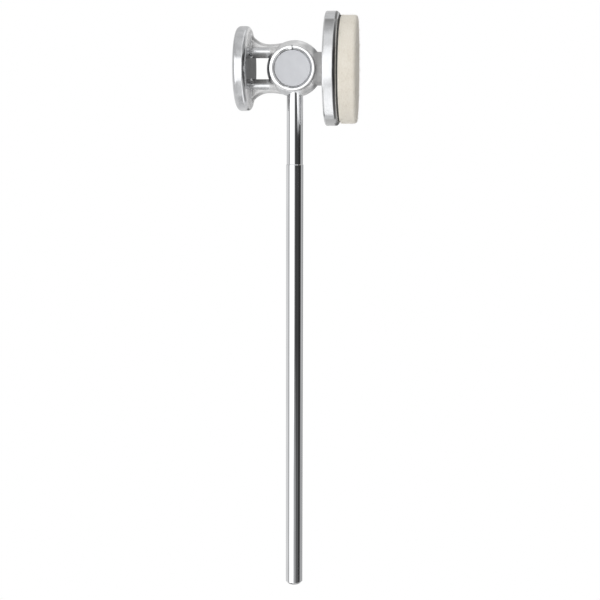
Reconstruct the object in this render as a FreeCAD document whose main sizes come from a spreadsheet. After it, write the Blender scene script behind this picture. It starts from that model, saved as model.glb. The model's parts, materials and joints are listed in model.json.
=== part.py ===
"""Bass drum beater with a round felt face, a round hard face and two pull-out hub weights.

The frame is +Z up along the shaft and +X towards the felt. The origin is on the shaft's axis, at the
lower end of its parallel part. The hub's axis is along Y, and its two weight pockets open at -Y (front)
and +Y (rear). Every piece of the head is drawn about the hub's centre and placed at the hub's height.
"""
import FreeCAD
import Part
import Sketcher
import math
import os
import re

# Driving sizes in millimetres, and one angle in degrees.
SIZES = {
    # Shaft: the parallel part that the pedal clamps, the thinner stem and the spigot in the hub.
    "shaft_diameter": 8.0,
    "shaft_length": 200.95,
    "shaft_tip": 1.3,
    "shaft_tip_round": 0.9,
    "shaft_step_height": 0.4,
    "stem_diameter": 7.5,
    "spigot_diameter": 5.5,
    "spigot_reach": 6.0,
    "spigot_bevel": 0.5,
    "socket_clearance": 0.03,
    "socket_floor_wall": 0.2,
    # Spring pin that locks the spigot in the web of the hub.
    "pin_diameter": 2.0,
    "pin_wall": 0.4,
    "pin_slit": 0.35,
    "pin_height": 2.2,
    "pin_recess": 0.2,
    "pin_clearance": 0.02,
    # Hub: a barrel along Y in a rounded ring, with two ridged struts to the tail disc and a fin on each.
    "hub_height": 244.3,
    "barrel_length": 23.0,
    "barrel_inset": 2.65,
    "web_thickness": 8.4,
    "frame_radius": 12.8,
    "frame_thickness": 8.0,
    "frame_round": 3.5,
    "frame_sink": 0.6,
    "strut_height": 6.0,
    "strut_depth": 7.2,
    "strut_flat": 1.2,
    "strut_ridge_round": 1.3,
    "strut_inset": 5.05,
    "strut_inner_end": 5.0,
    "strut_root_diameter": 4.6,
    "strut_flare": 3.2,
    "strut_flare_angle": 70.0,
    "fin_thickness": 3.4,
    "fin_round": 1.6,
    "fin_rise": 0.25,
    "fin_run": 11.5,
    "fin_inner_end": 4.0,
    "fin_crown_inset": 0.8,
    "fin_width": 2.0,
    "root_inset": 1.65,
    # Tail disc with the hard face let into it.
    "tail_gap": 20.0,
    "tail_diameter": 38.4,
    "tail_thickness": 6.35,
    "tail_round": 2.1,
    "hard_face_diameter": 29.6,
    "hard_face_thickness": 1.9,
    "hard_face_round": 0.5,
    "hard_face_recess": 1.8,
    "hard_face_clearance": 0.1,
    "tape_thickness": 0.2,
    # Neck on the other side of the hub, which carries the striking plate.
    "plate_seat_depth": 1.9,
    "neck_diameter": 15.2,
    "neck_inner_end": 4.0,
    "locator_diameter": 9.0,
    "locator_length": 2.4,
    "locator_clearance": 0.05,
    # Striking plate with its collar, and the countersunk screw that holds it.
    "collar_length": 3.35,
    "collar_round": 1.2,
    "plate_diameter": 51.6,
    "plate_thickness": 6.3,
    "plate_back_round": 0.8,
    "plate_front_round": 1.8,
    "screw_diameter": 5.0,
    "screw_head_diameter": 9.2,
    "screw_length": 15.0,
    "screw_clearance": 0.25,
    "screw_head_sink": 0.1,
    "thread_clearance": 0.03,
    "hole_spare_depth": 0.4,
    "hex_width": 3.0,
    "hex_depth": 1.8,
    # Felt and the tape under it.
    "felt_diameter": 49.2,
    "felt_thickness": 7.4,
    "felt_front_round": 1.6,
    "felt_back_round": 0.4,
    "felt_tape_inset": 0.6,
    "felt_tape_thickness": 0.55,
    # Bezel in the mouth of each pocket: a split sleeve with a flat bright rim.
    "bezel_rim_width": 1.85,
    "bezel_sleeve_wall": 0.6,
    "bezel_sleeve_length": 5.2,
    "bezel_rim_thickness": 1.0,
    "bezel_bevel": 0.8,
    "bezel_slit": 0.45,
    "bezel_clearance": 0.02,
    # Weight that pulls out of each pocket, with its cap and the rubber ring that grips the sleeve.
    "cap_recess": 1.1,
    "cap_thickness": 1.8,
    "cap_edge_round": 0.35,
    "cap_clearance": 0.1,
    "cap_peg_diameter": 6.0,
    "cap_peg_length": 3.0,
    "peg_clearance": 0.03,
    "weight_clearance": 0.2,
    "weight_edge_round": 0.3,
    "grip_ring_section": 1.2,
    "grip_ring_clearance": 0.05,
    "grip_ring_depth": 2.2,
    "grip_groove_clearance": 0.05,
}
# Sizes that follow from these. Each fin is lowest at its waist, where its two arcs meet level: one rises
# to the root on the tail disc, the other to the crown in the hub's ring.
FOLLOWING = {
    "neck_gap": "frame_radius - plate_seat_depth",
    "barrel_diameter": "2 * (frame_radius - barrel_inset)",
    "bezel_bore_diameter": "barrel_diameter - 2 * bezel_rim_width",
    "frame_half": "frame_thickness / 2",
    "rim_half": "frame_half - frame_round",
    "rim_flat": "frame_radius - frame_round",
    "strut_end": "tail_gap + frame_sink",
    "strut_axis": "frame_radius - strut_inset",
    "strut_side": "strut_axis + strut_height / 2",
    "root_side": "strut_axis + strut_root_diameter / 2",
    "flare_run": "strut_end - strut_flare * sin(strut_flare_angle * 1 deg)",
    "flare_side": "root_side + strut_flare * (1 - cos(strut_flare_angle * 1 deg))",
    "fin_height": "strut_side + fin_rise",
    "fin_outer_end": "fin_inner_end + fin_width",
    "root_height": "tail_diameter / 2 - root_inset",
    "root_rise": "root_height - fin_height",
    "root_radius": "((strut_end - fin_run) ^ 2 + root_rise ^ 2) / (2 * root_rise)",
    "fin_crown": "frame_radius - fin_crown_inset",
    "crown_rise": "fin_crown - fin_height",
    "crown_radius": "((fin_run - fin_inner_end) ^ 2 + crown_rise ^ 2) / (2 * crown_rise)",
}
SHEET = "Sizes"
FLAT_END = 90.0
X_AXIS = FreeCAD.Vector(1, 0, 0)
Y_AXIS = FreeCAD.Vector(0, 1, 0)
Z_AXIS = FreeCAD.Vector(0, 0, 1)
ALONG_Z = FreeCAD.Rotation()
ALONG_X = FreeCAD.Rotation(Y_AXIS, FLAT_END)
TO_FRONT = FreeCAD.Rotation(X_AXIS, FLAT_END)
TO_REAR = FreeCAD.Rotation(Z_AXIS, 2 * FLAT_END) * TO_FRONT
TO_TAIL = FreeCAD.Rotation(Y_AXIS, -FLAT_END)
FULL_TURN = 360.0
SAME_PLACE = 1e-4
CORNERS_OF_HEXAGON = 6

doc = FreeCAD.newDocument("bass_drum_beater")
sheet = doc.addObject("Spreadsheet::Sheet", SHEET)
for row, (alias, value) in enumerate(SIZES.items(), start=1):
    sheet.set(f"A{row}", alias)
    sheet.set(f"B{row}", str(value))
    sheet.setAlias(f"B{row}", alias)
for row, (alias, words) in enumerate(FOLLOWING.items(), start=len(SIZES) + 1):
    sheet.set(f"A{row}", alias)
    sheet.set(f"B{row}", f"={words}")
    sheet.setAlias(f"B{row}", alias)
doc.recompute()


def formula(words):
    """The expression for a sum written with the names of the sizes."""
    def full_name(match):
        name = match.group()
        return f"{SHEET}.{name}" if name in SIZES or name in FOLLOWING else name
    return re.sub(r"[a-z_]{4,}", full_name, words)


def new_body(label, turn=ALONG_Z, height="hub_height"):
    """An empty body placed on the shaft's axis, turned and at the given height."""
    body = doc.addObject("PartDesign::Body", label)
    body.Label = label
    body.Placement = FreeCAD.Placement(FreeCAD.Vector(), turn)
    if height != "0":
        body.setExpression("Placement.Base.z", formula(height))
    return body


def new_sketch(body, role):
    """A sketch on one of the body's own origin planes."""
    sketch = body.newObject("Sketcher::SketchObject", f"{body.Label}_sketch")
    plane = next(item for item in body.Origin.OriginFeatures if item.Role == role)
    sketch.AttachmentSupport = (plane, [""])
    sketch.MapMode = "FlatFace"
    return sketch


def hold(sketch, kind, where, words, name):
    """Adds a dimension that starts at its drawn value and follows the sheet."""
    if kind == "Radius":
        drawn = sketch.Geometry[where[0]].Radius
    elif kind == "Diameter":
        drawn = 2 * sketch.Geometry[where[0]].Radius
    else:
        point = sketch.getPoint(*where[2:])
        drawn = point.x if kind == "DistanceX" else point.y
    number = sketch.addConstraint(Sketcher.Constraint(kind, *where, drawn))
    sketch.renameConstraint(number, name)
    sketch.setExpression(f"Constraints.{name}", formula(words))


def outline(sketch, corners):
    """A closed outline of straight lines through corners that are pairs of formulas."""
    count = len(corners)
    start = sketch.GeometryCount
    ring = [FreeCAD.Vector(1, 0, 0)]
    for _ in corners[1:]:
        ring.append(FreeCAD.Rotation(Z_AXIS, FULL_TURN / count).multVec(ring[-1]))
    for index in range(count):
        sketch.addGeometry(Part.LineSegment(ring[index], ring[(index + 1) % count]), False)
    for index, (across, up) in enumerate(corners):
        line = start + index
        before = start + (index - 1) % count
        sketch.addConstraint(Sketcher.Constraint("Coincident", before, 2, line, 1))
        for kind, words, axis in (("DistanceX", across, -2), ("DistanceY", up, -1)):
            if words == "0":
                sketch.addConstraint(Sketcher.Constraint("PointOnObject", line, 1, axis))
            else:
                hold(sketch, kind, (-1, 1, line, 1), words, f"corner{line}_{kind[-1]}")


def curved_outline(sketch, corners, arcs):
    """A closed outline behind the hub, through corners named by how far behind and how high, above or below.

    A corner with no distance behind is on the hub's axis. The arcs are given by the number of the side, each
    with its radius and a point that it passes through.
    """
    count = len(corners)
    drawn = [FreeCAD.Vector(-read(behind) if behind else 0, sign * read(height), 0)
             for behind, height, sign in corners]
    start_of, end_of = [1] * count, [2] * count
    for side in range(count):
        ends = drawn[side], drawn[(side + 1) % count]
        if side in arcs:
            shape = Part.Arc(ends[0], arcs[side][1], ends[1])
        else:
            shape = Part.LineSegment(*ends)
        sketch.addGeometry(shape, False)
        # An arc runs counterclockwise, so its first end may be the outline's second.
        if sketch.getPoint(side, 1).distanceToPoint(ends[0]) > SAME_PLACE:
            start_of[side], end_of[side] = 2, 1
    for side, (behind, height, sign) in enumerate(corners):
        before = (side - 1) % count
        sketch.addConstraint(Sketcher.Constraint("Coincident", before, end_of[before], side, start_of[side]))
        if behind:
            hold(sketch, "DistanceX", (-1, 1, side, start_of[side]), f"-{behind}", f"corner{side}_X")
        else:
            sketch.addConstraint(Sketcher.Constraint("PointOnObject", side, start_of[side], -2))
        up = height if sign > 0 else f"-{height}"
        hold(sketch, "DistanceY", (-1, 1, side, start_of[side]), up, f"corner{side}_Y")
    for side, (radius, _) in arcs.items():
        hold(sketch, "Radius", (side,), radius, f"arc{side}")


def spin(body, sketch, axis, cut=False):
    """Turns a sketch about one of its axes, to add material or to cut it away."""
    kind = "PartDesign::Groove" if cut else "PartDesign::Revolution"
    feature = body.newObject(kind, f"{body.Label}_{'groove' if cut else 'turned'}")
    feature.Profile = sketch
    feature.ReferenceAxis = (sketch, [axis])
    feature.Angle = FULL_TURN
    sketch.Visibility = False
    before = body.Shape.Volume if cut else 0.0
    doc.recompute()
    if cut and not feature.Shape.Volume < before:
        raise RuntimeError(f"a groove cuts nothing from {body.Label}")
    return feature


def read(words):
    """The number that the sheet's cell holds."""
    return float(sheet.get(words))


def rings_at(body, axis, along, radius):
    """Names of the round edges about an axis, at a distance along it and with a radius."""
    names = []
    for number, edge in enumerate(body.Tip.Shape.Edges, start=1):
        curve = edge.Curve
        if not isinstance(curve, Part.Circle):
            continue
        centre = curve.Center.dot(axis)
        off_axis = (curve.Center - axis * centre).Length
        if max(abs(centre - along), abs(curve.Radius - radius), off_axis) < SAME_PLACE:
            names.append(f"Edge{number}")
    return names


def round_over(body, edges, words):
    """Rounds the named edges of a body's last feature."""
    if not edges:
        raise RuntimeError(f"no edge to round on {body.Label}")
    feature = body.newObject("PartDesign::Fillet", f"{body.Label}_round")
    feature.Base = (body.Tip if body.Tip != feature else feature.BaseFeature, edges)
    feature.setExpression("Radius", formula(words))
    doc.recompute()


def turned(label, turn, corners, height="hub_height"):
    """A body turned about its own Z axis from corners given as (radius, distance along)."""
    body = new_body(label, turn, height)
    sketch = new_sketch(body, "XZ_Plane")
    outline(sketch, corners)
    spin(body, sketch, "V_Axis")
    return body


def shaft():
    """Stepped steel rod: a bevelled tip, the clamped part, the stem and the spigot that fills the hub's web."""
    radius = "shaft_diameter / 2"
    stem = "stem_diameter / 2"
    spigot = "spigot_diameter / 2"
    shoulder = f"hub_height - ({socket_floor()})"
    top = "hub_height + spigot_reach"
    body = turned("shaft", ALONG_Z, [
        ("0", "-shaft_tip"),
        (f"{radius} - shaft_tip", "-shaft_tip"),
        (radius, "0"),
        (radius, "shaft_length - shaft_step_height"),
        (stem, "shaft_length"),
        (stem, shoulder),
        (spigot, shoulder),
        (spigot, f"{top} - spigot_bevel"),
        (f"{spigot} - spigot_bevel", top),
        ("0", top),
    ], height="0")
    tip_radius = read("shaft_diameter") / 2 - read("shaft_tip")
    round_over(body, rings_at(body, Z_AXIS, -read("shaft_tip"), tip_radius), "shaft_tip_round")
    hole_for_pin(body, "hub_height + pin_height", "shaft_diameter")


def hole_for_pin(body, height, length):
    """Cross hole along Y for the spring pin."""
    sketch = new_sketch(body, "XZ_Plane")
    sketch.addGeometry(Part.Circle(FreeCAD.Vector(0, 1, 0), Z_AXIS, 1.0), False)
    sketch.addConstraint(Sketcher.Constraint("PointOnObject", 0, 3, -2))
    hold(sketch, "DistanceY", (-1, 1, 0, 3), height, "pin_centre")
    hold(sketch, "Diameter", (0,), "pin_diameter + 2 * pin_clearance", "pin_hole")
    pocket = body.newObject("PartDesign::Pocket", f"{body.Label}_pin_hole")
    pocket.Profile = sketch
    pocket.Midplane = True
    pocket.setExpression("Length", formula(length))
    sketch.Visibility = False
    before = body.Shape.Volume
    doc.recompute()
    if not pocket.Shape.Volume < before:
        raise RuntimeError(f"the pin hole cuts nothing from {body.Label}")


def socket_floor():
    """How far below the hub's axis the stem's shoulder seats: just outside the weight pockets."""
    return f"{pocket_radius()} + socket_floor_wall"


def pocket_radius():
    """Radius of the weight pockets, which the bezel's sleeve fills."""
    return "bezel_bore_diameter / 2 + bezel_sleeve_wall + bezel_clearance"


def shaft_pin():
    """Slotted spring pin through the web and the spigot."""
    outer = "pin_diameter / 2"
    half = "(web_thickness / 2 - pin_recess)"
    body = turned("shaft_pin", TO_FRONT, [
        (f"{outer} - pin_wall", f"-{half}"),
        (outer, f"-{half}"),
        (outer, half),
        (f"{outer} - pin_wall", half),
    ], height="hub_height + pin_height")
    slit(body, "pin_slit", "pin_diameter", "web_thickness")


def slit(body, width, reach, depth):
    """Slot through one side of a ring, on the side of the body's own +Y."""
    sketch = new_sketch(body, "XY_Plane")
    outline(sketch, [
        (f"-{width} / 2", "0"),
        (f"{width} / 2", "0"),
        (f"{width} / 2", reach),
        (f"-{width} / 2", reach),
    ])
    pocket = body.newObject("PartDesign::Pocket", f"{body.Label}_slit")
    pocket.Profile = sketch
    pocket.Midplane = True
    pocket.setExpression("Length", formula(f"2 * {depth}"))
    sketch.Visibility = False
    before = body.Shape.Volume
    doc.recompute()
    if not pocket.Shape.Volume < before:
        raise RuntimeError(f"the slit cuts nothing from {body.Label}")


def head_frame():
    """Casting: ring round the hub, struts, fins, barrel, tail disc and neck, with its pockets, socket and holes."""
    body = new_body("head_frame")
    add_fins(body)
    for sign in (1, -1):
        add_strut(body, sign)
        add_flare(body, sign)
    add_ring(body)
    add_barrel(body)
    add_tail(body)
    add_neck(body)
    cut_seat(body)
    cut_pockets(body)
    cut_socket(body)
    cut_screw_hole(body)
    hole_for_pin(body, "pin_height", "barrel_length")


def add_barrel(body):
    """Barrel along Y."""
    sketch = new_sketch(body, "XY_Plane")
    outline(sketch, [
        ("0", "-barrel_length / 2"),
        ("barrel_diameter / 2", "-barrel_length / 2"),
        ("barrel_diameter / 2", "barrel_length / 2"),
        ("0", "barrel_length / 2"),
    ])
    spin(body, sketch, "V_Axis")


def add_fins(body):
    """Fin along the outer side of each strut, from the hub to the tail disc, joined inside the hub."""
    upper = [("strut_end", "root_height", 1), ("fin_run", "fin_height", 1), ("fin_inner_end", "fin_crown", 1)]
    inner = [("strut_end", "strut_axis", 1), ("fin_outer_end", "strut_axis", 1)]
    corners = upper + below(upper[::-1]) + below(inner) + inner[::-1]
    to_root = on_fin("root_radius", "strut_end")
    to_crown = on_fin("crown_radius", "fin_inner_end")
    sketch = new_sketch(body, "XZ_Plane")
    curved_outline(sketch, corners, {
        0: ("root_radius", to_root),
        1: ("crown_radius", to_crown),
        3: ("crown_radius", mirrored(to_crown)),
        4: ("root_radius", mirrored(to_root)),
    })
    pad = body.newObject("PartDesign::Pad", "head_frame_fins")
    pad.Profile = sketch
    pad.Midplane = True
    pad.setExpression("Length", formula("fin_thickness"))
    sketch.Visibility = False
    doc.recompute()
    round_over(body, fin_edges(body), "fin_round")


def on_fin(radius, end):
    """The middle of the fin's arc that leaves its waist level and has this radius and this end."""
    bend = read(radius)
    run = read(end) - read("fin_run")
    angle = math.asin(run / bend) / 2
    centre = FreeCAD.Vector(-read("fin_run"), read("fin_height") + bend, 0)
    return centre - bend * FreeCAD.Vector(math.sin(angle), math.cos(angle), 0)


def below(corners):
    """The same corners below the hub's axis."""
    return [(behind, height, -sign) for behind, height, sign in corners]


def mirrored(point):
    """The same point of a sketch below the hub's axis."""
    return FreeCAD.Vector(point.x, -point.y, 0)


def fin_edges(body):
    """Names of the long outer edges of the fins."""
    outer = read("fin_height") - SAME_PLACE
    names = []
    for number, edge in enumerate(body.Tip.Shape.Edges, start=1):
        box = edge.BoundBox
        if box.XLength > SAME_PLACE and (box.ZMin > outer or box.ZMax < -outer):
            names.append(f"Edge{number}")
    return names


def add_ring(body):
    """Ring round the hub, with a rounded rim."""
    front = [("", "frame_half", -1), ("rim_flat", "frame_half", -1), ("frame_radius", "rim_half", -1)]
    corners = front + below(front[::-1])
    slant = math.radians(FLAT_END / 2)
    centre = FreeCAD.Vector(-read("rim_flat"), -read("rim_half"), 0)
    on_rim = centre - read("frame_round") * FreeCAD.Vector(math.cos(slant), math.sin(slant), 0)
    sketch = new_sketch(body, "XY_Plane")
    curved_outline(sketch, corners, {1: ("frame_round", on_rim), 3: ("frame_round", mirrored(on_rim))})
    spin(body, sketch, "V_Axis")


def add_strut(body, sign):
    """Strut above or below the hub's axis, with a rounded ridge along its front and its rear."""
    axis = "strut_axis" if sign > 0 else "-strut_axis"
    side, flat = "strut_height / 2", "strut_flat / 2"
    sketch = new_sketch(body, "YZ_Plane")
    sketch.setExpression("AttachmentOffset.Base.z", formula("-strut_inner_end"))
    outline(sketch, [
        ("-strut_depth / 2", axis),
        (f"-{flat}", f"{axis} - {side}"),
        (flat, f"{axis} - {side}"),
        ("strut_depth / 2", axis),
        (flat, f"{axis} + {side}"),
        (f"-{flat}", f"{axis} + {side}"),
    ])
    pad = body.newObject("PartDesign::Pad", "head_frame_strut")
    pad.Profile = sketch
    pad.Reversed = True
    pad.setExpression("Length", formula("strut_end - strut_inner_end"))
    sketch.Visibility = False
    doc.recompute()
    round_over(body, ridges(body, sign), "strut_ridge_round")


def ridges(body, sign):
    """Names of the sharp edges along the front and the rear of a strut."""
    names = []
    for number, edge in enumerate(body.Tip.Shape.Edges, start=1):
        box = edge.BoundBox
        along_strut = box.XLength > SAME_PLACE and box.YLength < SAME_PLACE and box.ZLength < SAME_PLACE
        at_depth = abs(abs(box.Center.y) - read("strut_depth") / 2) < SAME_PLACE
        if along_strut and at_depth and abs(box.Center.z - sign * read("strut_axis")) < SAME_PLACE:
            names.append(f"Edge{number}")
    return names


def add_flare(body, sign):
    """Flared root of a strut on the tail disc."""
    corners = [("strut_end", "strut_axis", sign), ("strut_end", "flare_side", sign),
               ("flare_run", "root_side", sign), ("flare_run", "strut_axis", sign)]
    flare = read("strut_flare")
    angle = math.radians(read("strut_flare_angle")) / 2
    centre = FreeCAD.Vector(-read("flare_run"), read("root_side") + flare, 0)
    on_flare = centre - flare * FreeCAD.Vector(math.sin(angle), math.cos(angle), 0)
    sketch = new_sketch(body, "XZ_Plane")
    curved_outline(sketch, corners, {1: ("strut_flare", on_flare if sign > 0 else mirrored(on_flare))})
    last = len(corners) - 1
    middle = sketch.addGeometry(Part.LineSegment(sketch.getPoint(last, 1), sketch.getPoint(last, 2)), True)
    for end in (1, 2):
        sketch.addConstraint(Sketcher.Constraint("Coincident", middle, end, last, end))
    spin(body, sketch, "Axis0")


def add_tail(body):
    """Tail disc about X, with rounded edges and the recess for the hard face."""
    face = "-(tail_gap + tail_thickness)"
    rim = "tail_diameter / 2"
    recess = "hard_face_diameter / 2 + hard_face_clearance"
    sketch = new_sketch(body, "XZ_Plane")
    outline(sketch, [
        (f"{face} + hard_face_recess", "0"),
        (f"{face} + hard_face_recess", recess),
        (face, recess),
        (face, rim),
        ("-tail_gap", rim),
        ("-tail_gap", "0"),
    ])
    spin(body, sketch, "H_Axis")
    for along in (read("tail_gap"), read("tail_gap") + read("tail_thickness")):
        round_over(body, rings_at(body, X_AXIS, -along, read("tail_diameter") / 2), "tail_round")


def add_neck(body):
    """Neck about X, with the locator that centres the striking plate."""
    sketch = new_sketch(body, "XZ_Plane")
    outline(sketch, [
        ("neck_inner_end", "0"),
        ("neck_inner_end", "neck_diameter / 2"),
        ("neck_gap", "neck_diameter / 2"),
        ("neck_gap", "locator_diameter / 2"),
        ("neck_gap + locator_length", "locator_diameter / 2"),
        ("neck_gap + locator_length", "0"),
    ])
    spin(body, sketch, "H_Axis")


def cut_seat(body):
    """Flat seat for the plate's collar, where the web would stand out beyond the neck."""
    inner = "locator_diameter / 2"
    outer = "neck_diameter / 2 + collar_round"
    sketch = new_sketch(body, "XZ_Plane")
    outline(sketch, [("neck_gap", inner), ("neck_gap", outer), (plate_back(), outer), (plate_back(), inner)])
    spin(body, sketch, "H_Axis", cut=True)


def cut_pockets(body):
    """Weight pockets at the front and the rear of the web."""
    for sign in ("-", ""):
        sketch = new_sketch(body, "XY_Plane")
        outline(sketch, [
            ("0", f"{sign}web_thickness / 2"),
            (pocket_radius(), f"{sign}web_thickness / 2"),
            (pocket_radius(), f"{sign}barrel_length"),
            ("0", f"{sign}barrel_length"),
        ])
        spin(body, sketch, "V_Axis", cut=True)


def cut_socket(body):
    """Stepped socket for the stem and the spigot, from below."""
    stem = "stem_diameter / 2 + socket_clearance"
    spigot = "spigot_diameter / 2 + socket_clearance"
    top = "spigot_reach + hole_spare_depth"
    sketch = new_sketch(body, "XZ_Plane")
    outline(sketch, [
        ("0", "-2 * frame_radius"),
        (stem, "-2 * frame_radius"),
        (stem, f"-({socket_floor()})"),
        (spigot, f"-({socket_floor()})"),
        (spigot, top),
        ("0", top),
    ])
    spin(body, sketch, "V_Axis", cut=True)


def screw_tip():
    """Where the plate's screw ends, measured from the hub's axis."""
    return f"{plate_front()} - screw_head_sink - screw_length"


def cut_screw_hole(body):
    """Blind hole for the plate's screw, through the locator and the neck."""
    hole = "screw_diameter / 2 + thread_clearance"
    bottom = f"{screw_tip()} - hole_spare_depth"
    mouth = "neck_gap + locator_length + hole_spare_depth"
    sketch = new_sketch(body, "XZ_Plane")
    outline(sketch, [(bottom, "0"), (bottom, hole), (mouth, hole), (mouth, "0")])
    spin(body, sketch, "H_Axis", cut=True)


def plate_back():
    """Back of the striking plate, beyond its collar."""
    return "neck_gap + collar_length"


def plate_front():
    """Front of the striking plate, where the felt's tape lies."""
    return f"{plate_back()} + plate_thickness"


def strike_plate():
    """Round plate with a collar that seats on the neck, countersunk for its screw."""
    rim = "plate_diameter / 2"
    locator = "locator_diameter / 2 + locator_clearance"
    locator_floor = "neck_gap + locator_length + locator_clearance"
    hole = "screw_diameter / 2 + screw_clearance"
    sink = "screw_head_diameter / 2 + screw_clearance"
    body = turned("strike_plate", ALONG_X, [
        (locator, "neck_gap"),
        ("neck_diameter / 2", "neck_gap"),
        ("neck_diameter / 2", plate_back()),
        (rim, plate_back()),
        (rim, plate_front()),
        (sink, plate_front()),
        (hole, f"{plate_front()} - ({sink}) + ({hole})"),
        (hole, locator_floor),
        (locator, locator_floor),
    ])
    back = read("neck_gap") + read("collar_length")
    front = back + read("plate_thickness")
    edge = read("plate_diameter") / 2
    round_over(body, rings_at(body, Z_AXIS, back, read("neck_diameter") / 2), "collar_round")
    round_over(body, rings_at(body, Z_AXIS, back, edge), "plate_back_round")
    round_over(body, rings_at(body, Z_AXIS, front, edge), "plate_front_round")


def plate_screw():
    """Countersunk screw with a hexagon socket."""
    thread = "screw_diameter / 2"
    head = "screw_head_diameter / 2"
    top = f"{plate_front()} - screw_head_sink"
    body = turned("plate_screw", ALONG_X, [
        ("0", screw_tip()),
        (thread, screw_tip()),
        (thread, f"{top} - {head} + {thread}"),
        (head, top),
        ("0", top),
    ])
    sketch = new_sketch(body, "XY_Plane")
    corner = FreeCAD.Vector(read("hex_width") / 3 ** 0.5, 0, 0)
    step = FreeCAD.Rotation(Z_AXIS, FULL_TURN / CORNERS_OF_HEXAGON)
    for _ in range(CORNERS_OF_HEXAGON):
        sketch.addGeometry(Part.LineSegment(corner, step.multVec(corner)), False)
        corner = step.multVec(corner)
    ring = sketch.addGeometry(Part.Circle(FreeCAD.Vector(), Z_AXIS, read("hex_width") / 3 ** 0.5), True)
    sketch.addConstraint(Sketcher.Constraint("Coincident", ring, 3, -1, 1))
    hold(sketch, "Diameter", (ring,), "2 * hex_width / sqrt(3)", "across_corners")
    for side in range(CORNERS_OF_HEXAGON):
        after = (side + 1) % CORNERS_OF_HEXAGON
        sketch.addConstraint(Sketcher.Constraint("Coincident", side, 2, after, 1))
        sketch.addConstraint(Sketcher.Constraint("PointOnObject", side, 1, ring))
        if side:
            sketch.addConstraint(Sketcher.Constraint("Equal", 0, side))
    sketch.addConstraint(Sketcher.Constraint("PointOnObject", 0, 1, -1))
    sketch.setExpression("AttachmentOffset.Base.z", formula(top))
    pocket = body.newObject("PartDesign::Pocket", "plate_screw_socket")
    pocket.Profile = sketch
    pocket.setExpression("Length", formula("hex_depth"))
    sketch.Visibility = False
    before = body.Shape.Volume
    doc.recompute()
    if not pocket.Shape.Volume < before:
        raise RuntimeError("the hexagon socket cuts nothing")


def disc(label, turn, radius, back, front):
    """A plain disc between two distances along its axis."""
    return turned(label, turn, [("0", back), (radius, back), (radius, front), ("0", front)])


def felt():
    """Felt pad and the tape that holds it on the plate."""
    back = f"{plate_front()} + felt_tape_thickness"
    disc("felt_tape", ALONG_X, "felt_diameter / 2 - felt_tape_inset", plate_front(), back)
    body = disc("felt_pad", ALONG_X, "felt_diameter / 2", back, f"{back} + felt_thickness")
    start = sum(read(name) for name in ("neck_gap", "collar_length", "plate_thickness", "felt_tape_thickness"))
    edge = read("felt_diameter") / 2
    round_over(body, rings_at(body, Z_AXIS, start + read("felt_thickness"), edge), "felt_front_round")
    round_over(body, rings_at(body, Z_AXIS, start, edge), "felt_back_round")


def hard_face():
    """Hard face and the tape that holds it in the recess of the tail disc."""
    floor = "tail_gap + tail_thickness - hard_face_recess"
    back = f"{floor} + tape_thickness"
    disc("hard_face_tape", TO_TAIL, "hard_face_diameter / 2 - tape_thickness", floor, back)
    body = disc("hard_face", TO_TAIL, "hard_face_diameter / 2", back, f"{back} + hard_face_thickness")
    front = sum(read(name) for name in ("tail_gap", "tail_thickness", "tape_thickness", "hard_face_thickness"))
    front -= read("hard_face_recess")
    round_over(body, rings_at(body, Z_AXIS, front, read("hard_face_diameter") / 2), "hard_face_round")


def bezel(side, turn):
    """Split sleeve in the mouth of a pocket, with a flat rim on the barrel's end and a bevelled mouth."""
    seat = "barrel_length / 2"
    front = f"{seat} + bezel_rim_thickness"
    bore = "bezel_bore_diameter / 2"
    sleeve = f"{bore} + bezel_sleeve_wall"
    body = turned(f"{side}_bezel", turn, [
        (bore, f"{seat} - bezel_sleeve_length"),
        (sleeve, f"{seat} - bezel_sleeve_length"),
        (sleeve, seat),
        ("barrel_diameter / 2", seat),
        ("barrel_diameter / 2", front),
        (f"{bore} + bezel_bevel", front),
        (bore, f"{front} - bezel_bevel"),
    ])
    slit(body, "bezel_slit", "barrel_diameter", "barrel_length")


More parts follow.
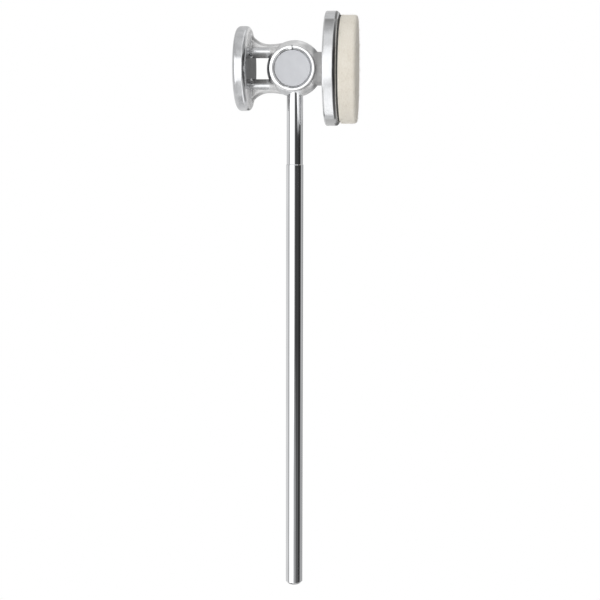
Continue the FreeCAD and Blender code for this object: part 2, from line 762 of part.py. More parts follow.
def weight(side, turn):
    """Pull-out weight: steel slug, moulded cap pegged into it and rubber ring in its groove."""
    bore = "bezel_bore_diameter / 2"
    floor = "web_thickness / 2"
    cap_front = "barrel_length / 2 + bezel_rim_thickness - cap_recess"
    seat = f"{cap_front} - cap_thickness"
    slug = f"{bore} - weight_clearance"
    peg = "cap_peg_diameter / 2"
    peg_end = f"{seat} - cap_peg_length"
    ring_out = f"{bore} - grip_ring_clearance"
    groove = f"{ring_out} - grip_ring_section - grip_groove_clearance"
    middle = f"{seat} - grip_ring_depth"
    half = "(grip_ring_section / 2 + grip_groove_clearance)"
    steel = turned(f"{side}_weight", turn, [
        ("0", floor),
        (slug, floor),
        (slug, f"{middle} - {half}"),
        (groove, f"{middle} - {half}"),
        (groove, f"{middle} + {half}"),
        (slug, f"{middle} + {half}"),
        (slug, seat),
        (f"{peg} + peg_clearance", seat),
        (f"{peg} + peg_clearance", f"{peg_end} - peg_clearance"),
        ("0", f"{peg_end} - peg_clearance"),
    ])
    slug_radius = read("bezel_bore_diameter") / 2 - read("weight_clearance")
    round_over(steel, rings_at(steel, Z_AXIS, read("web_thickness") / 2, slug_radius), "weight_edge_round")

    cap = turned(f"{side}_weight_cap", turn, [
        ("0", peg_end),
        (peg, peg_end),
        (peg, seat),
        (f"{bore} - cap_clearance", seat),
        (f"{bore} - cap_clearance", cap_front),
        ("0", cap_front),
    ])
    front = read("barrel_length") / 2 + read("bezel_rim_thickness") - read("cap_recess")
    cap_radius = read("bezel_bore_diameter") / 2 - read("cap_clearance")
    round_over(cap, rings_at(cap, Z_AXIS, front, cap_radius), "cap_edge_round")

    grip = new_body(f"{side}_grip_ring", turn)
    sketch = new_sketch(grip, "XZ_Plane")
    sketch.addGeometry(Part.Circle(FreeCAD.Vector(read("bezel_bore_diameter") / 2, 1, 0), Z_AXIS, 0.5), False)
    hold(sketch, "DistanceX", (-1, 1, 0, 3), f"{ring_out} - grip_ring_section / 2", "core")
    hold(sketch, "DistanceY", (-1, 1, 0, 3), middle, "middle")
    hold(sketch, "Diameter", (0,), "grip_ring_section", "section")
    spin(grip, sketch, "V_Axis")


def check_and_write():
    """Stops if an object failed or a solid isn't sound, and otherwise writes one file for each sub-part."""
    doc.recompute()
    failed = [item.Name for item in doc.Objects if {"Invalid", "Error"} & set(item.State)]
    if failed:
        raise RuntimeError(f"failed objects: {failed}")
    bodies = [item for item in doc.Objects if item.TypeId == "PartDesign::Body"]
    for body in bodies:
        shape = body.Shape
        if shape.isNull() or not shape.isValid() or len(shape.Solids) != 1:
            raise RuntimeError(f"{body.Label} isn't one sound solid")
    os.makedirs("parts", exist_ok=True)
    for body in bodies:
        body.Shape.exportStep(f"parts/{body.Label}.step")
        print(f"{body.Label}: {body.Shape.Volume:.1f} mm3")


shaft()
shaft_pin()
head_frame()
strike_plate()
plate_screw()
felt()
hard_face()
for name, direction in (("front", TO_FRONT), ("rear", TO_REAR)):
    bezel(name, direction)
    weight(name, direction)
check_and_write()
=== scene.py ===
"""Looks of a bass drum beater: chromed shaft and cast head, grey caps and a felt pad, in a studio."""

import json
import math

import bmesh
import bpy
from mathutils import Matrix, Vector, noise


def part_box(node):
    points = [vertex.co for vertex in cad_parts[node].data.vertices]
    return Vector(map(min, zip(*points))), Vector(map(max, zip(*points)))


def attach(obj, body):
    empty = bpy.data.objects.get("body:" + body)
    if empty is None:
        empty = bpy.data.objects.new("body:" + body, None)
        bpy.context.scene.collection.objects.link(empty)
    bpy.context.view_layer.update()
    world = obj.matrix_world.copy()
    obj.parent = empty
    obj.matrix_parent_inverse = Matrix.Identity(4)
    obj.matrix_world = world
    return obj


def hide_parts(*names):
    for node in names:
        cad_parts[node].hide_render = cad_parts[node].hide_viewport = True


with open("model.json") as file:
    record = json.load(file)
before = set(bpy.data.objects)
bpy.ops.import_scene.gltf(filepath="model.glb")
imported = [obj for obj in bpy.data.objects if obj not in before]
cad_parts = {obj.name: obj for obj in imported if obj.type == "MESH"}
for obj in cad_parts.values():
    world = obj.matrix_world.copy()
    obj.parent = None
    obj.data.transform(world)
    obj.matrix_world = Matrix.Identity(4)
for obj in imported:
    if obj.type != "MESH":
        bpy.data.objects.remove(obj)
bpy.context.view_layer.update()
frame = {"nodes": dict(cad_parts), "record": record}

MM = 0.001
QUARTER_TURN = math.pi / 2
FULL_TURN = 2 * math.pi

# Camera, fitted to the round faces and the shaft.
AIM = Vector((2.6, 0.0, 137.53)) * MM
CAMERA_DISTANCE = 600 * MM
CAMERA_AZIMUTH = math.radians(5.7)
CAMERA_ELEVATION = math.radians(8.6)
CAMERA_ROLL = math.radians(0.13)
LENS = 76.76
SENSOR = 36.0
FARTHEST_SEEN = 50.0

# Studio: a wrap of panels round the part, a grey ceiling, a white floor and a fill light.
WRAP_RADIUS = 0.9
WRAP_TOP = 1.1
WRAP_SIDES = 180
FLOOR_HEIGHT = -0.36
FLOOR_SIZE = 8.0
FLOOR_TINT = (0.95, 0.95, 0.95, 1.0)
CEILING_LEVEL = 0.92
WHITE = (1.0, 1.0, 1.0, 1.0)
FILL_PLACE = Vector((0.62, -0.35, 0.4))
FILL_SIZE = 0.35
FILL_POWER = 0.42

# Brightness of the wrap by azimuth in degrees from the camera, positive to its right: near the
# floor, at the part's own height, and at the strip light level with the head. Stretches that
# these have in common come first.
LEFT_LEVELS = ((-180, 0.95), (-118, 1.05), (-100, 1.2), (-90, 0.75), (-75, 0.65), (-62, 2.3))
FRONT_LEVELS = ((-9, 2.3), (-3, 1.2), (5, 0.15))
REAR_LEVELS = ((98, 0.8), (114, 0.8), (128, 0.6), (146, 0.6), (156, 0.16), (180, 0.16))
LOW_LEVELS = (
    *LEFT_LEVELS,
    (-18, 2.3),
    (-9, 1.35),
    (0, 0.55),
    (19, 0.6),
    (25, 0.1),
    (42, 0.26),
    (56, 0.08),
    (82, 0.04),
    (94, 0.65),
    (146, 0.6),
    (156, 0.2),
    (180, 0.2),
)
MIDDLE_LEVELS = (
    *LEFT_LEVELS,
    *FRONT_LEVELS,
    (28, 0.07),
    (42, 0.1),
    (56, 0.06),
    (88, 0.03),
    *REAR_LEVELS,
)
STRIP_LEVELS = (
    *LEFT_LEVELS,
    *FRONT_LEVELS,
    (30, 0.07),
    (38, 1.7),
    (64, 1.7),
    (72, 0.04),
    (88, 0.04),
    *REAR_LEVELS,
)
# Heights over which one of these gives way to the next.
LOW_END = (-0.22, -0.05)
STRIP_START = (0.195, 0.225)
STRIP_END = (0.26, 0.29)
# Height at which the panels end by azimuth, and the level of the wall above them.
PANEL_TOPS = (
    (-180, 0.45),
    (-114, 0.45),
    (-74, 0.7),
    (-14, 0.7),
    (0, 0.86),
    (92, 0.86),
    (104, 0.42),
    (180, 0.42),
)
ABOVE_LEVELS = (
    (-180, 0.8),
    (-14, 0.8),
    (-12, 2.2),
    (-4, 2.2),
    (2, 0.8),
    (26, 0.8),
    (34, 0.5),
    (88, 0.5),
    (98, 0.8),
    (180, 0.8),
)
PANEL_FADE = 0.06
# Cards that only the gloss shows, just off the floor or the ceiling: from and to along X, from and
# to along Y, height and level.
CARD_GAP = 0.005
LOW_CARD = FLOOR_HEIGHT + CARD_GAP
HIGH_CARD = WRAP_TOP - CARD_GAP
CARDS = {
    "bright_floor_card": ((-0.062, 0.05), (-0.85, 0.15), LOW_CARD, 2.15),
    "bright_ceiling_card": ((-0.085, 0.05), (-0.85, -0.31), HIGH_CARD, 1.5),
    "hub_ceiling_card": ((0.04, 0.25), (-0.31, 0.6), HIGH_CARD, 1.5),
    "dark_floor_card": ((0.15, 0.75), (-0.75, 0.2), LOW_CARD, 0.5),
    "dark_strut_card": ((-0.1, -0.064), (-0.15, 0.3), LOW_CARD, 0.1),
    "dark_ceiling_card": ((0.25, 0.85), (-0.7, 0.25), HIGH_CARD, 0.5),
}

# Zones of a metal with a shade and a roughness of their own: shade, roughness and spans in
# millimetres. Apart from the fins, which are only rougher, the shades of these zones are
# painted light, painted shade and painted reflection. A span says where a zone is full and
# where it is gone: along X, above the hub's axis, away from that axis up or down, or round it.
HUB_AXIS = sum(corner.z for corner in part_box("front_bezel")) / 2
FINISH_AND_PAINTED_LIGHT_ZONES = {
    "plate_chrome": {
        # Back of the plate: rougher, and its much lighter shade is painted light.
        "brushed_back_painted_light": (0.88, 0.3, ("along", 14.25, 14.65)),
        # Collar of the plate between hub and plate: duller, and its darker shade is painted shade.
        "duller_collar_painted_shade": (0.39, 0.55, ("along", 13.8, 14.2)),
        # Dark line round the plate's front edge beside the felt: painted shade of the gap there.
        "painted_shade_edge_beside_felt": (0.13, 0.35, ("along", 19.2, 18.8), ("along", 19.85, 20.13)),
        # Darker top of the plate's rim: painted shade.
        "top": (0.25, 0.25, ("along", 15.1, 14.7), ("above", 20.6, 15.5), ("above", 21.0, 21.7)),
        # Darker foot of the plate's rim: painted shade.
        "foot": (0.4, 0.25, ("along", 15.1, 14.7), ("above", -23.0, -22.2)),
    },
    "head_chrome": {
        # Neck between hub and plate: duller, and its darker shade is painted shade.
        "duller_neck_painted_shade": (0.33, 0.5, ("along", 9.1, 7.6)),
        # Lighter upper half of the hub: painted light; also rougher.
        "painted_light_hub_crown": (
            0.61, 0.34, ("along", -6.0, -8.0), ("along", 7.5, 9.0), ("above", 1.0, -3.0)),
        # Lower right of the hub: rougher, and its lighter shade is painted reflection.
        "rougher_hub_foot_painted_light": (
            0.58, 0.38, ("along", 3.5, 2.5), ("along", 7.5, 9.0), ("above", -3.0, 1.0)),
        # Darker inner sides of the struts round the window: painted shade.
        "painted_shade_strut_insides": (
            0.3, 0.25, ("along", -19.5, -19.9), ("along", -13.2, -12.4), ("away", 6.5, 7.2)),
        # Near-black bore seen through the bezel's slit: painted shade.
        "painted_shade_bezel_slit_bed": (
            0.05, 0.6, ("along", -0.8, -1.2), ("along", 0.8, 1.2), ("above", 8.5, 8.0),
            ("above", 10.1, 10.25)),
        "fins": (
            0.49, 0.35, ("along", -19.4, -19.8), ("along", -8.0, -6.0), ("away", 9.6, 9.2)),
        # Feet of the struts in the hollow beside the hub: rougher, and their lighter shade is painted
        # light over the shade there.
        "painted_light_strut_feet": (
            0.6, 0.6, ("along", -10.4, -11.8), ("along", -8.0, -6.0), ("away", 4.6, 4.0)),
        # Inner face of the tail disc above and below the struts: rougher, and its lighter shade is
        # painted light.
        "painted_light_tail_inside": (
            1.0, 0.6, ("along", -20.3, -20.9), ("along", -19.8, -19.4), ("away", 9.5, 8.5)),
    },
    "rim_chrome": {
        # Grey outline round the bezel's edge, apart from its left: painted dark reflection.
        "painted_dark_reflection_bezel_edge": (0.28, 0.3, ("along", -6.0, -8.5), ("round", 9.9, 9.55)),
    },
    "shaft_chrome": {
        # Chamfer at the shaft's lower end: rougher, and its darker shade is painted dark reflection.
        "duller_shaft_end_painted_reflection": (0.24, 0.4, ("above", -244.65, -244.25)),
    },
}

# Relief of the finishes, the range that most of a grain falls in, and where its dark and light
# tints lie.
METAL_RELIEF = 0.1 * MM
PLASTIC_RELIEF = 0.05 * MM
GRAIN_RANGE = (0.3, 0.7)
METAL_TINT_STOPS = (0.35, 0.65)
PLASTIC_TINT_STOPS = (0.3, 0.7)

# Wool of the felt: grains a metre, how the fine ones are stretched and their share, then tints
# from dark to light, gloss and relief.
WOOL_CLOUDS = 190.0
WOOL_FIBRES = 1900.0
WOOL_STRETCH = (1.0, 0.45, 0.45)
WOOL_FIBRE_SHARE = 0.7
WOOL_TINTS = (
    (0.30, (0.615, 0.56, 0.475)),
    (0.43, (0.715, 0.67, 0.585)),
    (0.56, (0.755, 0.715, 0.635)),
    (0.72, (0.80, 0.77, 0.70)),
)
WOOL_GLOSS = {
    "Roughness": 0.95,
    "Specular IOR Level": 0.15,
    "Sheen Weight": 0.2,
    "Sheen Roughness": 0.6,
}
WOOL_RELIEF = 0.25 * MM
WOOL_RELIEF_STRENGTH = 0.55

# Felt pad: its mesh, its rounded edges, and how it departs from a plain disc.
FELT_SIDES = 240
FELT_FACE_RINGS = 22
FELT_SIDE_RINGS = 14
FELT_ROUND_RINGS = 7
FELT_ROUND = 1.4 * MM
FELT_BACK_ROUND = 0.5 * MM
FELT_CROWN = 0.2 * MM
FELT_TAPER = 1.1 * MM
FELT_SHRINK = 0.15 * MM
FELT_DROP = 0.4 * MM
FELT_UNEVEN = 0.12 * MM
# Bumps a metre of the coarse and the fine unevenness, and how strong the fine one is.
FELT_COARSE = 260
FELT_FINE = 900
FELT_FINE_SHARE = 0.6

# Fibres on the felt. Bend and tip are shares of the length, with Z away from the surface, and the
# shortest and longest fibres are shares of it too. The last table is the inputs of their nodes.
FIBRES_PER_SQUARE_METRE = 700000.0
FIBRE_LENGTH = 0.75 * MM
FIBRE_RADIUS = 0.014 * MM
FIBRE_SEED = 7
FIBRE_BEND = (0.15, 0.0, 0.45)
FIBRE_TIP = (0.75, 0.1, 0.6)
FIBRE_STEPS = 3
FIBRE_SIDES = 3
FIBRE_LEAN = 0.9
SHORTEST_FIBRE = 0.45
LONGEST_FIBRE = 1.2
FIBRE_SOCKETS = {
    "Geometry": "NodeSocketGeometry",
    "Fibres per square metre": "NodeSocketFloat",
    "Fibre length": "NodeSocketFloat",
    "Fibre radius": "NodeSocketFloat",
    "Seed": "NodeSocketInt",
    "Finish": "NodeSocketMaterial",
}


def put(tree, value, socket):
    """Feeds a socket with another one's value or with a plain one."""
    if isinstance(value, bpy.types.NodeSocket):
        tree.links.new(value, socket)
    else:
        socket.default_value = value


def add_node(tree, kind, settings=None, **inputs):
    """A node with its settings and what its named inputs are fed with."""
    node = tree.nodes.new(kind)
    for name, value in (settings or {}).items():
        setattr(node, name, value)
    for name, value in inputs.items():
        put(tree, value, node.inputs[name.replace("_", " ")])
    return node


def calculate(tree, operation, *values):
    """The result of a calculation."""
    node = add_node(tree, "ShaderNodeMath", {"operation": operation})
    for value, socket in zip(values, node.inputs):
        put(tree, value, socket)
    return node.outputs["Value"]


def in_use(sockets):
    """Those of a node's sockets that its settings leave in use."""
    return [socket for socket in sockets if socket.enabled]


def blend(tree, kind, share, first, second):
    """A first number or colour that gives way to a second one by a share."""
    node = add_node(tree, "ShaderNodeMix", {"data_type": kind})
    for value, socket in zip((share, first, second), in_use(node.inputs)):
        put(tree, value, socket)
    return in_use(node.outputs)[0]


def spread(tree, value, low, high, source=GRAIN_RANGE):
    """A value carried over from one range to another."""
    start, end = source
    node = add_node(tree, "ShaderNodeMapRange", Value=value, From_Min=start, From_Max=end,
                    To_Min=low, To_Max=high)
    return node.outputs["Result"]


def object_coordinates(tree, stretch=(1.0, 1.0, 1.0)):
    """The surface's place on the part, with the pattern stretched along the axes."""
    where = add_node(tree, "ShaderNodeTexCoord").outputs["Object"]
    return add_node(tree, "ShaderNodeMapping", Vector=where, Scale=stretch).outputs["Vector"]


def grain(tree, place, scale, detail=3.0, roughness=0.5):
    """Soft random grain between 0 and 1, with so many grains a metre."""
    node = add_node(tree, "ShaderNodeTexNoise", Vector=place, Scale=scale, Detail=detail,
                    Roughness=roughness)
    return node.outputs["Fac"]


def tints(tree, value, stops):
    """Colours along a value, from pairs of place and colour."""
    node = add_node(tree, "ShaderNodeValToRGB", Fac=value)
    ramp = node.color_ramp
    while len(ramp.elements) < len(stops):
        ramp.elements.new(1.0)
    for element, (place, colour) in zip(ramp.elements, stops):
        element.position = place
        element.color = (*colour, 1.0)
    return node.outputs["Color"]


def relief(tree, shader, height, strength, depth):
    """Fine relief on the surface, so deep in metres."""
    node = add_node(tree, "ShaderNodeBump", Height=height, Strength=strength, Distance=depth)
    put(tree, node.outputs["Normal"], shader.inputs["Normal"])


def new_material(name):
    """A material with a Principled shader, its node tree and the shader."""
    material = bpy.data.materials.new(name)
    material.use_nodes = True
    tree = material.node_tree
    return material, tree, tree.nodes["Principled BSDF"]


def metal(name, dark, light, gloss, grain_scale, relief_scale, relief_strength,
          stretch=(1.0, 1.0, 1.0)):
    """Metal whose tint, gloss and surface vary with the grain of its polish."""
    material, tree, shader = new_material(name)
    shader.inputs["Metallic"].default_value = 1.0
    place = object_coordinates(tree, stretch)
    polish = grain(tree, place, grain_scale)
    stops = tuple(zip(METAL_TINT_STOPS, (dark, light)))
    put(tree, tints(tree, polish, stops), shader.inputs["Base Color"])
    put(tree, spread(tree, polish, *gloss), shader.inputs["Roughness"])
    texture = grain(tree, place, relief_scale, detail=2.0)
    relief(tree, shader, texture, relief_strength, METAL_RELIEF)
    return material


def plastic(name, dark, light, gloss, grain_scale, relief_scale, relief_strength):
    """Moulded or rubbery surface with a faint mottle and a fine texture."""
    material, tree, shader = new_material(name)
    place = object_coordinates(tree)
    mottle = grain(tree, place, grain_scale)
    stops = tuple(zip(PLASTIC_TINT_STOPS, (dark, light)))
    put(tree, tints(tree, mottle, stops), shader.inputs["Base Color"])
    put(tree, spread(tree, mottle, *gloss), shader.inputs["Roughness"])
    texture = grain(tree, place, relief_scale, detail=4.0)
    relief(tree, shader, texture, relief_strength, PLASTIC_RELIEF)
    return material


def felt_material():
    """Pressed wool: warm white, mottled by its fibres, soft and dull."""
    material, tree, shader = new_material("pressed_wool_felt")
    clouds = grain(tree, object_coordinates(tree), WOOL_CLOUDS, detail=2.0)
    fibres = grain(tree, object_coordinates(tree, WOOL_STRETCH), WOOL_FIBRES, detail=6.0,
                   roughness=0.7)
    mottle = blend(tree, "FLOAT", WOOL_FIBRE_SHARE, clouds, fibres)
    put(tree, tints(tree, mottle, WOOL_TINTS), shader.inputs["Base Color"])
    for name, value in WOOL_GLOSS.items():
        shader.inputs[name].default_value = value
    relief(tree, shader, fibres, WOOL_RELIEF_STRENGTH, WOOL_RELIEF)
    return material


def zone_measures(tree):
    """Where a surface lies along X, above the hub's axis, away from that axis and round it."""
    parts = add_node(tree, "ShaderNodeSeparateXYZ", Vector=object_coordinates(tree))
    along = parts.outputs["X"]
    above = calculate(tree, "SUBTRACT", parts.outputs["Z"], HUB_AXIS)
    squares = [calculate(tree, "MULTIPLY", side, side) for side in (along, above)]
    return {
        "along": along,
        "above": above,
        "away": calculate(tree, "ABSOLUTE", above),
        "round": calculate(tree, "SQRT", calculate(tree, "ADD", *squares)),
    }


def finish_and_painted_light_zones(material, zones):
    """Gives zones of a metal, each where its spans meet, a shade, mostly painted light and shade, and
    a roughness.
    """
    tree = material.node_tree
    shader = tree.nodes["Principled BSDF"]
    measures = zone_measures(tree)
    for shade, roughness, *spans in zones.values():
        share = 1.0
        for measure, full, gone in spans:
            within = spread(tree, measures[measure], 0.0, 1.0, (gone * MM, full * MM))
            share = calculate(tree, "MULTIPLY", share, within)
        colour = (shade, shade, shade, 1.0)
        for name, kind, own in (("Base Color", "RGBA", colour), ("Roughness", "FLOAT", roughness)):
            socket = shader.inputs[name]
            general = socket.links[0].from_socket
            put(tree, blend(tree, kind, share, general, own), socket)


def make_materials():
    """The finish of every material slot."""
    materials = {
        "shaft_chrome": metal(
            "shaft_mirror_chrome", dark=(0.53, 0.535, 0.545), light=(0.57, 0.575, 0.585),
            gloss=(0.035, 0.075), grain_scale=420.0, relief_scale=500.0, relief_strength=0.02,
            stretch=(1.0, 1.0, 0.12)),
        "head_chrome": metal(
            "cast_head_chrome", dark=(0.46, 0.465, 0.475), light=(0.54, 0.545, 0.555),
            gloss=(0.16, 0.24), grain_scale=260.0, relief_scale=330.0, relief_strength=0.03),
        "plate_chrome": metal(
            "satin_plate_chrome", dark=(0.48, 0.485, 0.495), light=(0.54, 0.545, 0.555),
            gloss=(0.16, 0.24), grain_scale=300.0, relief_scale=420.0, relief_strength=0.15),
        "rim_chrome": metal(
            "bezel_bright_chrome", dark=(0.60, 0.605, 0.615), light=(0.66, 0.665, 0.67),
            gloss=(0.05, 0.11), grain_scale=500.0, relief_scale=700.0, relief_strength=0.04),
        "steel": metal(
            "plain_steel", dark=(0.36, 0.36, 0.37), light=(0.50, 0.50, 0.51),
            gloss=(0.28, 0.42), grain_scale=700.0, relief_scale=1500.0, relief_strength=0.15),
        "cap_plastic": plastic(
            "grey_cap_plastic", dark=(0.505, 0.515, 0.54), light=(0.545, 0.555, 0.58),
            gloss=(0.38, 0.5), grain_scale=260.0, relief_scale=3000.0, relief_strength=0.15),
        "hard_plastic": plastic(
            "hard_face_plastic", dark=(0.66, 0.65, 0.61), light=(0.74, 0.73, 0.69),
            gloss=(0.35, 0.5), grain_scale=180.0, relief_scale=2500.0, relief_strength=0.2),
        "tape": plastic(
            "dark_adhesive", dark=(0.05, 0.05, 0.05), light=(0.09, 0.09, 0.085),
            gloss=(0.7, 0.9), grain_scale=600.0, relief_scale=2500.0, relief_strength=0.3),
        "rubber": plastic(
            "black_rubber", dark=(0.02, 0.02, 0.02), light=(0.04, 0.04, 0.04),
            gloss=(0.6, 0.8), grain_scale=500.0, relief_scale=3000.0, relief_strength=0.3),
        "felt": felt_material(),
    }
    for slot, zones in FINISH_AND_PAINTED_LIGHT_ZONES.items():
        finish_and_painted_light_zones(materials[slot], zones)
    return materials


MATERIALS = make_materials()


def dress_nodes():
    """Gives every solid the finish that its material slot names."""
    for entry in frame["record"]["subparts"]:
        piece = frame["nodes"][entry["node"]]
        for slot in piece.material_slots:
            slot.material = MATERIALS[entry["material_slot"]]


def new_object(name, mesh, material):
    """An object at the origin with one finish."""
    piece = bpy.data.objects.new(name, mesh)
    bpy.context.scene.collection.objects.link(piece)
    mesh.materials.clear()
    mesh.materials.append(material)
    return piece


def felt_profile(back, front, radius):
    """Half section of the pad from its back to its face, as pairs of X and radius."""
    turns = [QUARTER_TURN * step / FELT_ROUND_RINGS for step in range(FELT_ROUND_RINGS + 1)]
    points = [(back, radius * share / FELT_FACE_RINGS) for share in range(1, FELT_FACE_RINGS)]
    for turn in turns:
        points.append((back + FELT_BACK_ROUND * (1 - math.cos(turn)),
                       radius - FELT_BACK_ROUND * (1 - math.sin(turn))))
    start, end = back + FELT_BACK_ROUND, front - FELT_ROUND
    for step in range(1, FELT_SIDE_RINGS):
        points.append((start + (end - start) * step / FELT_SIDE_RINGS, radius))
    for turn in turns:
        points.append((end + FELT_ROUND * math.sin(turn),
                       radius - FELT_ROUND * (1 - math.cos(turn))))
    flat = radius - FELT_ROUND
    for share in range(FELT_FACE_RINGS - 1, 0, -1):
        points.append((front, flat * share / FELT_FACE_RINGS))
    return points


def felt_pad():
    """Pressed felt disc: slightly crowned and uneven, soft at its edge, thicker to the front."""
    low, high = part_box("felt_pad")
    centre = (low + high) / 2 - Vector((0.0, 0.0, FELT_DROP))
    radius = (high.z - low.z) / 2 - FELT_UNEVEN - FELT_SHRINK
    profile = felt_profile(low.x, high.x - FELT_CROWN - FELT_UNEVEN, radius)
    shape = bmesh.new()
    rings = []
    for along, out in profile:
        crown = FELT_CROWN * (1 - (out / radius) ** 2) if along > centre.x else 0.0
        thickness = (along - low.x) / (high.x - low.x)
        ring = []
        for side in range(FELT_SIDES):
            angle = FULL_TURN * side / FELT_SIDES
            across = out * math.sin(angle)
            up = out * math.cos(angle)
            taper = FELT_TAPER * thickness * (1 - across / radius) / 2
            place = (along + crown + taper, centre.y + across, centre.z + up)
            ring.append(shape.verts.new(place))
        rings.append(ring)
    for inner, outer in zip(rings, rings[1:]):
        for side in range(FELT_SIDES):
            after = (side + 1) % FELT_SIDES
            shape.faces.new((inner[side], inner[after], outer[after], outer[side]))
    face = profile[-1][0] + FELT_CROWN + FELT_TAPER / 2
    for ring, along in ((rings[0], low.x), (rings[-1], face)):
        pole = shape.verts.new((along, centre.y, centre.z))
        for side in range(FELT_SIDES):
            shape.faces.new((ring[side], ring[(side + 1) % FELT_SIDES], pole))
    bmesh.ops.recalc_face_normals(shape, faces=shape.faces)
    shape.normal_update()
    for vertex in shape.verts:
        if vertex.co.x > low.x + FELT_BACK_ROUND / 2:
            fine = noise.noise(vertex.co * FELT_FINE)
            uneven = noise.noise(vertex.co * FELT_COARSE) + FELT_FINE_SHARE * fine
            vertex.co += vertex.normal * FELT_UNEVEN * uneven / (1 + FELT_FINE_SHARE)
    mesh = bpy.data.meshes.new("felt_disc")
    shape.to_mesh(mesh)
    shape.free()
    mesh.shade_smooth()
    return new_object("felt_disc", mesh, MATERIALS["felt"])


def fibre_tree():
    """Nodes that scatter short bent fibres over a surface, with inputs for their sizes."""
    tree = bpy.data.node_groups.new("felt_fibres", "GeometryNodeTree")
    for name, kind in FIBRE_SOCKETS.items():
        tree.interface.new_socket(name, in_out="INPUT", socket_type=kind)
    tree.interface.new_socket("Geometry", in_out="OUTPUT", socket_type="NodeSocketGeometry")
    entry = add_node(tree, "NodeGroupInput").outputs
    seed = entry["Seed"]
    scatter = add_node(tree, "GeometryNodeDistributePointsOnFaces", Mesh=entry["Geometry"],
                       Density=entry["Fibres per square metre"], Seed=seed)
    bend, tip = (add_node(tree, "ShaderNodeVectorMath", {"operation": "SCALE"}, Vector=place,
                          Scale=entry["Fibre length"]) for place in (FIBRE_BEND, FIBRE_TIP))
    curve = add_node(tree, "GeometryNodeCurveQuadraticBezier", Resolution=FIBRE_STEPS,
                     Start=(0.0, 0.0, 0.0), Middle=bend.outputs["Vector"],
                     End=tip.outputs["Vector"])
    section = add_node(tree, "GeometryNodeCurvePrimitiveCircle", Resolution=FIBRE_SIDES,
                       Radius=entry["Fibre radius"])
    fibre = add_node(tree, "GeometryNodeCurveToMesh", Curve=curve.outputs["Curve"],
                     Profile_Curve=section.outputs["Curve"])
    lean = add_node(tree, "FunctionNodeRandomValue", {"data_type": "FLOAT_VECTOR"},
                    Min=(-FIBRE_LEAN, -FIBRE_LEAN, -math.pi),
                    Max=(FIBRE_LEAN, FIBRE_LEAN, math.pi), Seed=seed)
    as_turn = add_node(tree, "FunctionNodeEulerToRotation", Euler=lean.outputs["Value"])
    turn = add_node(tree, "FunctionNodeRotateRotation", {"rotation_space": "LOCAL"},
                    Rotation=scatter.outputs["Rotation"], Rotate_By=as_turn.outputs["Rotation"])
    length = add_node(tree, "FunctionNodeRandomValue", {"data_type": "FLOAT"}, Seed=seed)
    shortest, longest = in_use(length.inputs)[:2]
    shortest.default_value = SHORTEST_FIBRE
    longest.default_value = LONGEST_FIBRE
    placed = add_node(tree, "GeometryNodeInstanceOnPoints", Points=scatter.outputs["Points"],
                      Instance=fibre.outputs["Mesh"], Rotation=turn.outputs["Rotation"],
                      Scale=in_use(length.outputs)[0])
    real = add_node(tree, "GeometryNodeRealizeInstances", Geometry=placed.outputs["Instances"])
    finish = add_node(tree, "GeometryNodeSetMaterial", Geometry=real.outputs["Geometry"],
                      Material=entry["Finish"])
    add_node(tree, "NodeGroupOutput", Geometry=finish.outputs["Geometry"])
    return tree


def felt_fibres(pad):
    """Loose fibres that stand a little proud of the felt."""
    tree = fibre_tree()
    carrier = bpy.data.objects.new("fibre_carrier", pad.data.copy())
    bpy.context.scene.collection.objects.link(carrier)
    modifier = carrier.modifiers.new("fibres", "NODES")
    modifier.node_group = tree
    settings = {
        "Fibres per square metre": FIBRES_PER_SQUARE_METRE,
        "Fibre length": FIBRE_LENGTH,
        "Fibre radius": FIBRE_RADIUS,
        "Seed": FIBRE_SEED,
        "Finish": MATERIALS["felt"],
    }
    for item in tree.interface.items_tree:
        if item.in_out == "INPUT" and item.name in settings:
            modifier[item.identifier] = settings[item.name]
    bpy.context.view_layer.update()
    evaluated = carrier.evaluated_get(bpy.context.evaluated_depsgraph_get())
    mesh = bpy.data.meshes.new_from_object(evaluated)
    carrier.modifiers.remove(modifier)
    bpy.data.objects.remove(carrier)
    return new_object("felt_fibres", mesh, MATERIALS["felt"])


def stage_material(name, build):
    """A material without a Principled shader, whose surface the given function builds."""
    material = bpy.data.materials.new(name)
    material.use_nodes = True
    tree = material.node_tree
    tree.nodes.clear()
    add_node(tree, "ShaderNodeOutputMaterial", Surface=build(tree))
    return material


def seen_directly(tree):
    """1 where a ray comes from the camera, or by way of gloss or glass, and otherwise 0."""
    path = add_node(tree, "ShaderNodeLightPath")
    total = path.outputs["Is Camera Ray"]
    for name in ("Is Glossy Ray", "Is Transmission Ray"):
        total = calculate(tree, "MAXIMUM", total, path.outputs[name])
    return total


def white_floor(tree):
    """Pale floor that the camera and the gloss see as white."""
    dull = add_node(tree, "ShaderNodeBsdfDiffuse", Color=FLOOR_TINT)
    white = add_node(tree, "ShaderNodeEmission", Color=WHITE, Strength=1.0)
    mix = add_node(tree, "ShaderNodeMixShader", Fac=seen_directly(tree))
    put(tree, dull.outputs["BSDF"], mix.inputs[1])
    put(tree, white.outputs["Emission"], mix.inputs[2])
    return mix.outputs["Shader"]


def by_azimuth(tree, share, levels):
    """A value that follows the azimuth, from pairs of azimuth in degrees and level."""
    most = max(level for _, level in levels)
    stops = [((azimuth + 180) / 360, (level / most,) * 3) for azimuth, level in levels]
    return calculate(tree, "MULTIPLY", tints(tree, share, stops), most)


def change_over(tree, value, span, below, above):
    """One level below a span of a value and another above it."""
    return blend(tree, "FLOAT", spread(tree, value, 0.0, 1.0, span), below, above)


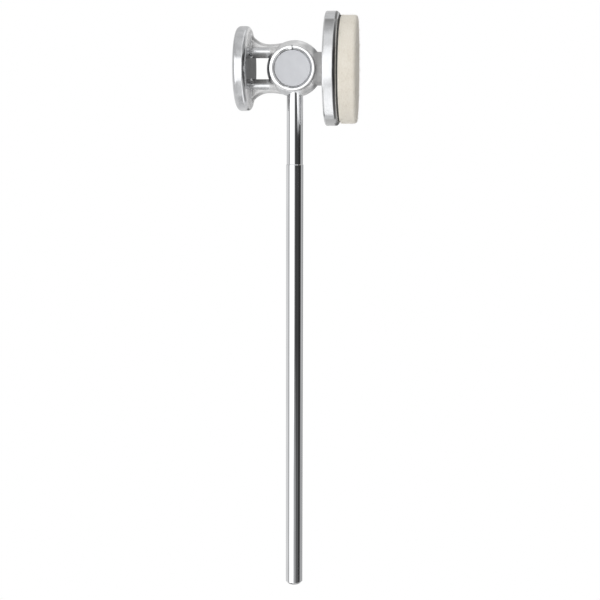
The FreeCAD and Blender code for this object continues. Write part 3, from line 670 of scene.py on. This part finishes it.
def panel_light(tree):
    """Light of the wrap's panels by height and azimuth, and of the wall above them."""
    where = add_node(tree, "ShaderNodeTexCoord").outputs["Object"]
    parts = add_node(tree, "ShaderNodeSeparateXYZ", Vector=where)
    height = parts.outputs["Z"]
    towards = calculate(tree, "MULTIPLY", parts.outputs["Y"], -1.0)
    angle = calculate(tree, "ARCTAN2", parts.outputs["X"], towards)
    circle = (CAMERA_AZIMUTH - math.pi, CAMERA_AZIMUTH + math.pi)
    share = spread(tree, angle, 0.0, 1.0, circle)
    low = by_azimuth(tree, share, LOW_LEVELS)
    middle = by_azimuth(tree, share, MIDDLE_LEVELS)
    strip = by_azimuth(tree, share, STRIP_LEVELS)
    panels = change_over(tree, height, LOW_END, low, middle)
    panels = change_over(tree, height, STRIP_START, panels, strip)
    panels = change_over(tree, height, STRIP_END, panels, middle)
    over = calculate(tree, "SUBTRACT", height, by_azimuth(tree, share, PANEL_TOPS))
    above = by_azimuth(tree, share, ABOVE_LEVELS)
    level = change_over(tree, over, (-PANEL_FADE, PANEL_FADE), panels, above)
    return add_node(tree, "ShaderNodeEmission", Color=WHITE, Strength=level).outputs["Emission"]


def even_light(level):
    """A builder of a surface that shines evenly."""
    def build(tree):
        glow = add_node(tree, "ShaderNodeEmission", Color=WHITE, Strength=level)
        return glow.outputs["Emission"]
    return build


def level_face(name, outline, height, material):
    """A flat level piece of the studio with the given outline."""
    mesh = bpy.data.meshes.new(name)
    mesh.from_pydata([(x, y, height) for x, y in outline], [], [tuple(range(len(outline)))])
    return new_object(name, mesh, material)


def rectangle(left, right, front, back):
    """Corners of a rectangle."""
    return [(left, front), (right, front), (right, back), (left, back)]


def studio():
    """Floor, wrap and ceiling; the wrap and the ceiling light the part but stay out of sight."""
    half = FLOOR_SIZE / 2
    floor = level_face("floor", rectangle(-half, half, -half, half), FLOOR_HEIGHT,
                       stage_material("white_floor", white_floor))
    turns = [FULL_TURN * side / WRAP_SIDES for side in range(WRAP_SIDES)]
    rim = [(WRAP_RADIUS * math.cos(turn), WRAP_RADIUS * math.sin(turn)) for turn in turns]
    points = [(x, y, z) for z in (FLOOR_HEIGHT, WRAP_TOP) for x, y in rim]
    faces = []
    for side in range(WRAP_SIDES):
        after = (side + 1) % WRAP_SIDES
        faces.append((side, after, WRAP_SIDES + after, WRAP_SIDES + side))
    wrap_mesh = bpy.data.meshes.new("light_wrap")
    wrap_mesh.from_pydata(points, [], faces)
    wrap = new_object("light_wrap", wrap_mesh, stage_material("panel_light", panel_light))
    ceiling = level_face("ceiling", rim, WRAP_TOP,
                         stage_material("ceiling_light", even_light(CEILING_LEVEL)))
    for panel in (wrap, ceiling):
        panel.visible_camera = False


def reflector_cards():
    """Bright and dark cards that the gloss shows and the camera doesn't."""
    for name, (sides, depth, height, level) in CARDS.items():
        card = level_face(name, rectangle(*sides, *depth), height,
                          stage_material(name, even_light(level)))
        card.visible_camera = False
        card.visible_diffuse = False


def fill_light():
    """Soft fill from the right for the dull pieces, which the gloss doesn't show."""
    data = bpy.data.lights.new("fill", "AREA")
    data.shape = "DISK"
    data.size = FILL_SIZE
    data.energy = FILL_POWER
    lamp = bpy.data.objects.new("fill", data)
    bpy.context.scene.collection.objects.link(lamp)
    low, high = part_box("felt_pad")
    towards = (low + high) / 2 - FILL_PLACE
    lamp.location = FILL_PLACE
    lamp.rotation_euler = towards.to_track_quat("-Z", "Y").to_euler()
    lamp.visible_glossy = False
    lamp.visible_camera = False


def white_world():
    """White surroundings beyond the floor."""
    world = bpy.data.worlds.new("white_surroundings")
    bpy.context.scene.world = world
    world.use_nodes = True
    background = world.node_tree.nodes["Background"]
    background.inputs["Color"].default_value = WHITE
    background.inputs["Strength"].default_value = 1.0


def camera():
    """Camera at the photograph's viewing angle."""
    data = bpy.data.cameras.new("camera")
    data.lens = LENS
    data.sensor_width = SENSOR
    data.clip_end = FARTHEST_SEEN
    eye = bpy.data.objects.new("camera", data)
    bpy.context.scene.collection.objects.link(eye)
    away = Vector((math.sin(CAMERA_AZIMUTH) * math.cos(CAMERA_ELEVATION),
                   -math.cos(CAMERA_AZIMUTH) * math.cos(CAMERA_ELEVATION),
                   math.sin(CAMERA_ELEVATION)))
    place = Matrix.Translation(AIM + CAMERA_DISTANCE * away)
    look = (-away).to_track_quat("-Z", "Y").to_matrix().to_4x4()
    eye.matrix_world = place @ look @ Matrix.Rotation(CAMERA_ROLL, 4, "Z")
    bpy.context.scene.camera = eye


dress_nodes()
pad = felt_pad()
fluff = felt_fibres(pad)
for piece in (pad, fluff):
    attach(piece, "beater")
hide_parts("felt_pad")
studio()
reflector_cards()
fill_light()
white_world()
camera()
bpy.context.scene.view_settings.view_transform = "Standard"
